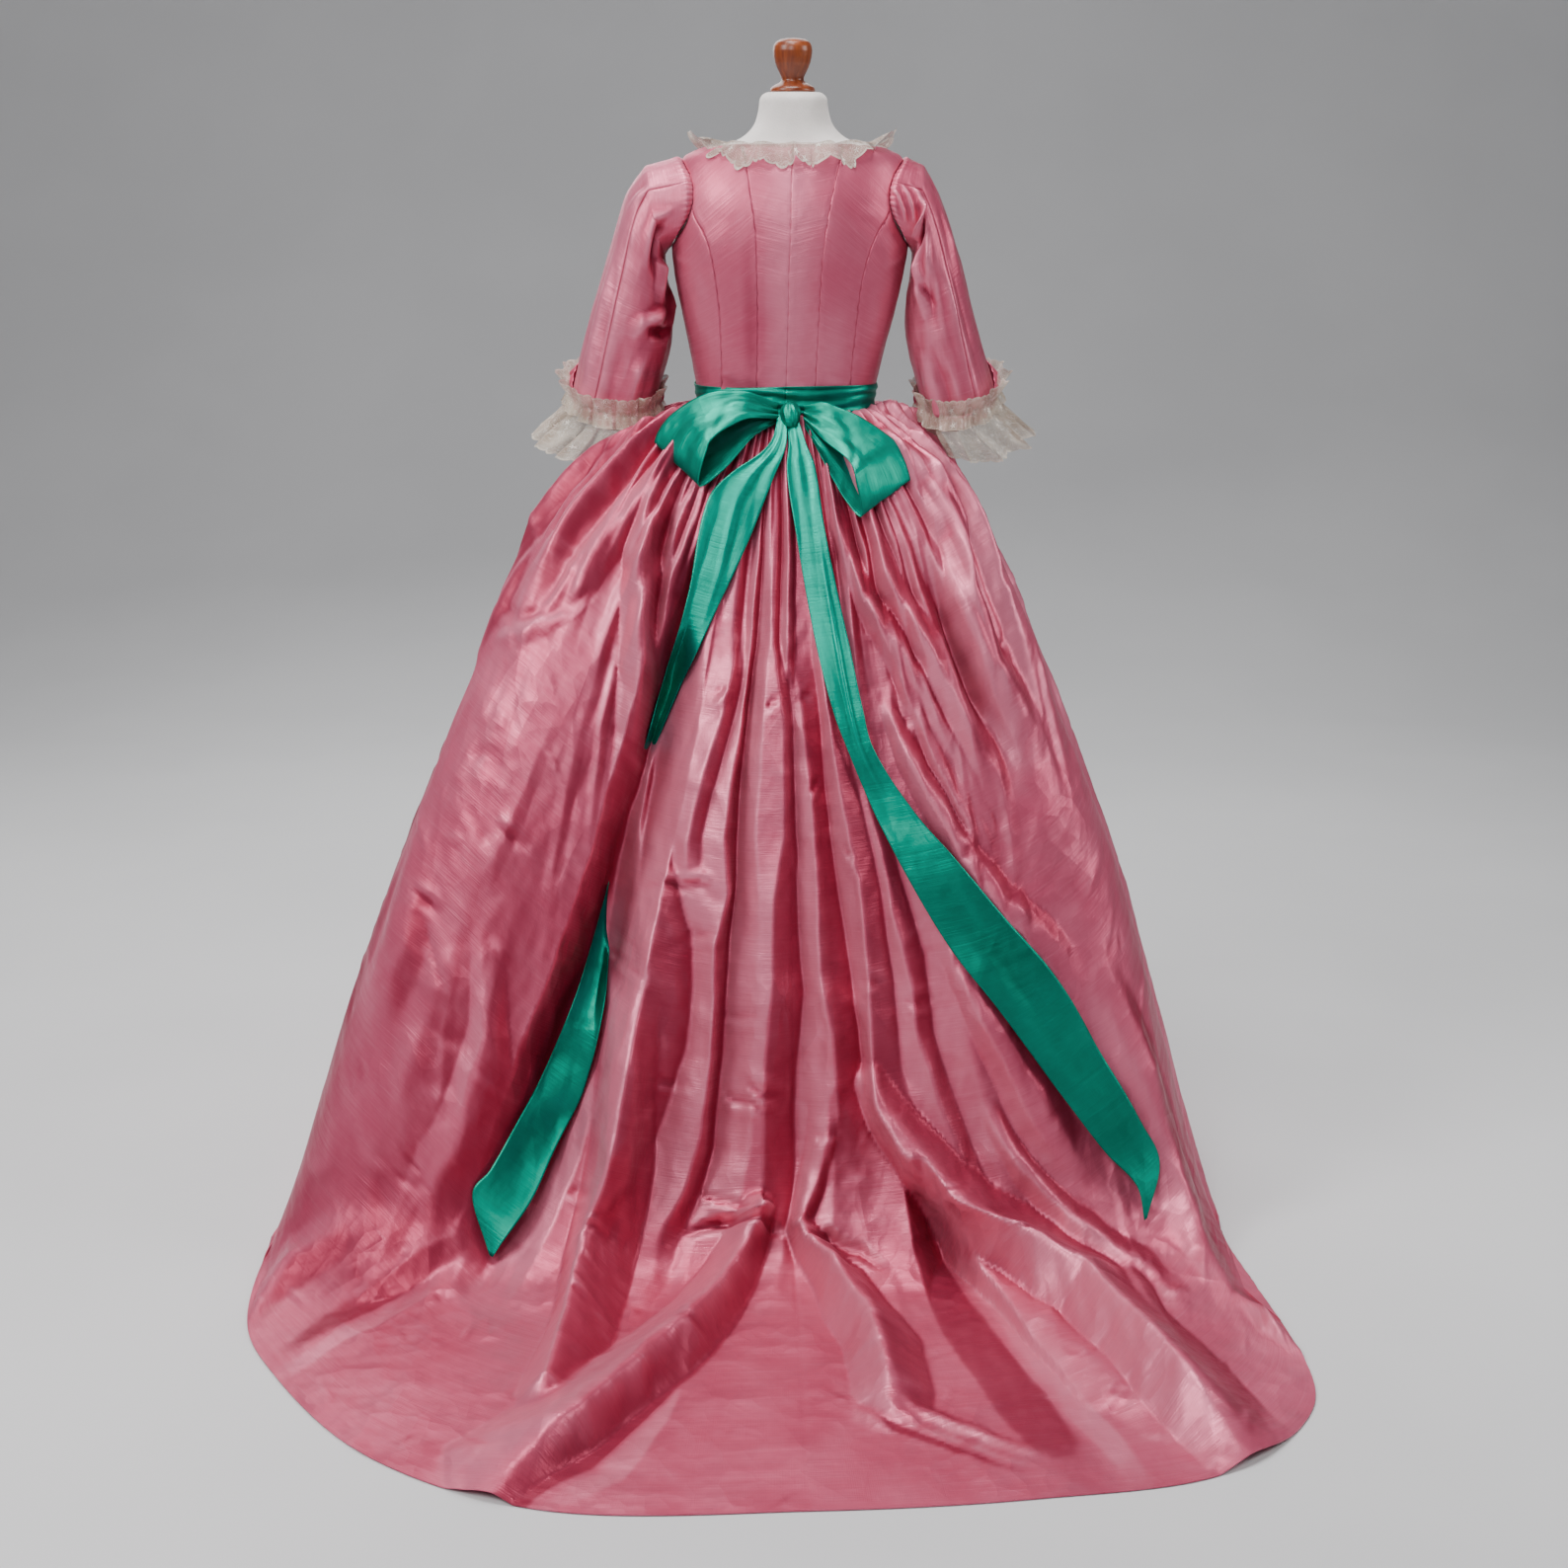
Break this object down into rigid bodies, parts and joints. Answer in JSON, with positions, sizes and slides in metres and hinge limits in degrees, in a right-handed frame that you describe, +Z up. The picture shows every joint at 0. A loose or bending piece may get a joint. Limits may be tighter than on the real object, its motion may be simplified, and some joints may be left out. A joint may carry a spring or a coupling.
{
  "type": "robe a l'anglaise on a limbless dress form",
  "caption": "Fitted-back gown with seamed bodice, elbow sleeves with lace cuffs, full gathered skirt with train and a tied back sash, on a limbless dress form with stand",
  "frame": {"origin": "on the floor at the centre of the stand base's flat underside, below the pole", "axes": "+Z up, -Y towards the garment's back and train, +Y towards its front, -X towards the wearer's left"},
  "size_m": [1.3563, 1.515, 1.611],
  "materials": {
    "pink_silk": "crisp silk taffeta with fine slubs and a soft sheen",
    "green_silk": "plain-woven silk ribbon with a soft sheen",
    "cream_lace": "net lace with a small sprig pattern and a scalloped edge",
    "form_cover": "smooth white jersey over a rigid form",
    "turned_wood": "turned wood, red-brown varnish"
  },
  "bodies": {
    "root": {"form_torso": "form_cover", "stand_base": "turned_wood", "stand_pole": "turned_wood", "neck_finial": "turned_wood", "bodice_back_left": "pink_silk", "bodice_back_right": "pink_silk", "bodice_sideback_left": "pink_silk", "bodice_sideback_right": "pink_silk", "bodice_side_left": "pink_silk", "bodice_side_right": "pink_silk", "bodice_front_left": "pink_silk", "bodice_front_right": "pink_silk", "sleeve_left_upper": "pink_silk", "sleeve_left_under": "pink_silk", "sleeve_right_upper": "pink_silk", "sleeve_right_under": "pink_silk", "cuff_ruche_left": "pink_silk", "cuff_ruche_right": "pink_silk", "cuff_heading_left": "cream_lace", "cuff_heading_right": "cream_lace", "cuff_flounce_left": "cream_lace", "cuff_flounce_right": "cream_lace", "neck_lace": "cream_lace", "skirt_back_left": "pink_silk", "skirt_back_right": "pink_silk", "skirt_side_left": "pink_silk", "skirt_side_right": "pink_silk", "skirt_front": "pink_silk", "sash_waist": "green_silk", "bow_knot": "green_silk", "bow_loop_left": "green_silk", "bow_loop_right": "green_silk", "sash_tail_left": "green_silk", "sash_tail_right": "green_silk"}
  },
  "joints": []
}
